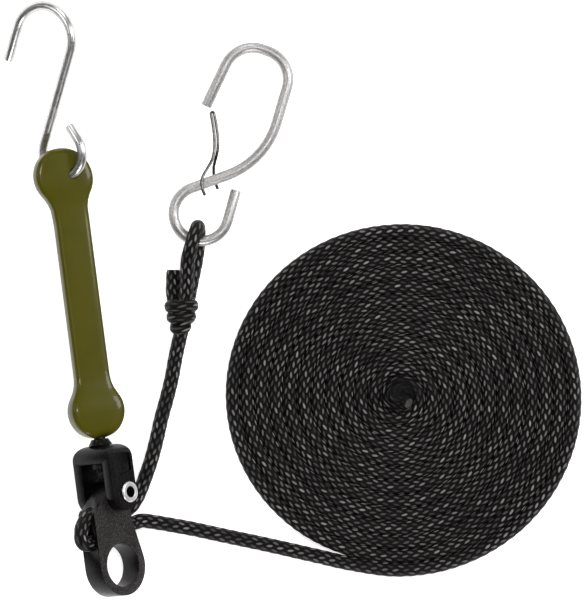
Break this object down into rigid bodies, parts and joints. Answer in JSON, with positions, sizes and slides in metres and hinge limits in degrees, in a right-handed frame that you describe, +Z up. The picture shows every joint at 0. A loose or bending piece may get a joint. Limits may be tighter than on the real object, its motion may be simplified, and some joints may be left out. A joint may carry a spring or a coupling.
{
  "type": "elastic rope tie-down",
  "caption": "Stretch strap with an S-hook and a ringed rope lock, holding a braided rope that ends in a gated snap hook and is wound into a flat coil.",
  "frame": {"origin": "middle of the coil's flat underside, on the ground", "axes": "+Z up from the ground; +Y along the layout, from the lock towards the S-hook; +X from the lock towards the coil"},
  "size_m": [0.2545, 0.2619, 0.0303],
  "materials": {
    "zinc_wire": "bright zinc plate, drawn wire",
    "galvanised_wire": "grey speckled galvanising",
    "spring_wire": "spring wire, satin",
    "strap_olive": "glossy moulded olive polyurethane",
    "nylon_black": "satin moulded nylon, finely grained on the lever",
    "rivet_steel": "bright plated rivet",
    "rope_black": "diamond-braided polypropylene, slight sheen"
  },
  "bodies": {
    "lock": {"lock_housing": "nylon_black", "pivot_rivet": "rivet_steel", "rivet_washer": "rivet_steel", "rope_lead_entry": "rope_black", "rope_lead": "rope_black", "rope_knot": "rope_black", "rope_cut_end": "rope_black", "rope_eye": "rope_black", "rope_tail_exit": "rope_black", "rope_tail": "rope_black", "rope_coil": "rope_black"},
    "lever": {"lock_lever": "nylon_black", "rope_lock_wrap": "rope_black"},
    "strap": {"swivel_stud": "nylon_black", "stud_retainer": "rivet_steel", "strap_foot": "strap_olive", "strap_band": "strap_olive"},
    "strap_end": {"strap_head": "strap_olive"},
    "s_hook": {"s_hook": "zinc_wire"},
    "snap_hook": {"snap_hook": "galvanised_wire"},
    "gate": {"snap_gate": "spring_wire"}
  },
  "joints": [
    {"name": "strap_swivel", "type": "hinge", "parent": "lock", "child": "strap", "pos_m": [-0.13, -0.0407, 0.0137], "axis": [-0.1288, 0.9917, 0], "continuous": true},
    {"name": "strap_stretch", "type": "slide", "parent": "strap", "child": "strap_end", "axis": [-0.1288, 0.9917, 0], "range_m": [0, 0.05], "stiffness_N_per_m": 1500, "deforming": ["strap_band"]},
    {"name": "s_hook_swing", "type": "hinge", "parent": "strap_end", "child": "s_hook", "pos_m": [-0.14947, 0.1092, 0.0137], "axis": [-0.5489, -0.1067, 0.829], "range_deg": [-45, 60]},
    {"name": "lever_pivot", "type": "hinge", "parent": "lock", "child": "lever", "pos_m": [-0.12846, -0.0405, 0.01214], "axis": [-0.7012, -0.0911, -0.7071], "range_deg": [-20, 55], "deforming": ["rope_lead_entry", "rope_tail_exit"]},
    {"name": "snap_hook_swing", "type": "hinge", "parent": "lock", "child": "snap_hook", "pos_m": [-0.0887, 0.0827, 0.0081], "axis": [0, 0.0698, 0.9976], "range_deg": [-40, 60]},
    {"name": "gate_open", "type": "hinge", "parent": "snap_hook", "child": "gate", "pos_m": [-0.0849, 0.09687, 0.00711], "axis": [0, -0.0698, -0.9976], "range_deg": [0, 22], "stiffness_Nm_per_rad": 0.03}
  ]
}
